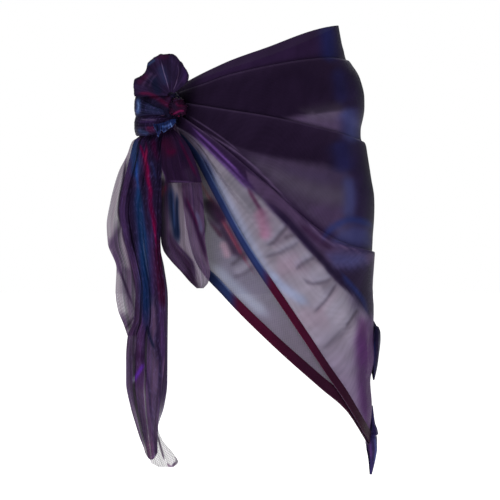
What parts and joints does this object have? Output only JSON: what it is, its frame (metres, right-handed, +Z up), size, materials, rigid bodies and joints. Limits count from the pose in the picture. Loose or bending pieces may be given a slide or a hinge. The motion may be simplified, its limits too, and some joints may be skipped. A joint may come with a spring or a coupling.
{
  "type": "hip scarf",
  "caption": "Sheer shot-organza belly dance hip scarf, pleated round the hips, knotted at one side with hanging tails, in worn form.",
  "frame": {"origin": "on the upright axis of the hips that the scarf goes round, level with the middle of the knot", "axes": "+Z up, -Y out of the figure's front, +X towards the figure's left side; the knot is at the figure's right side"},
  "size_m": [0.45, 0.2644, 0.7411],
  "materials": {
    "sheer_purple": "sheer shot organza, two or more layers",
    "sheer_mauve": "sheer shot organza, one layer",
    "hem_red": "turned-up hem of shot organza",
    "shot_blue": "shot organza, blue in this light",
    "shot_red": "shot organza, red in this light"
  },
  "bodies": {
    "root": {"front_wrap": "sheer_purple", "front_hem": "hem_red", "under_wrap": "sheer_mauve", "under_hem": "hem_red", "back_wrap": "sheer_purple", "back_hem": "hem_red", "tail_long": "shot_blue", "tail_veil": "sheer_mauve", "tail_inner": "sheer_mauve", "tail_short": "sheer_purple", "tail_flap": "sheer_purple", "knot_ear": "sheer_purple", "knot_band_upper": "shot_blue", "knot_band_lower": "shot_blue", "knot_core": "shot_red", "knot_rosette": "shot_red", "corner_point": "shot_blue", "side_loop": "shot_blue"}
  },
  "joints": []
}
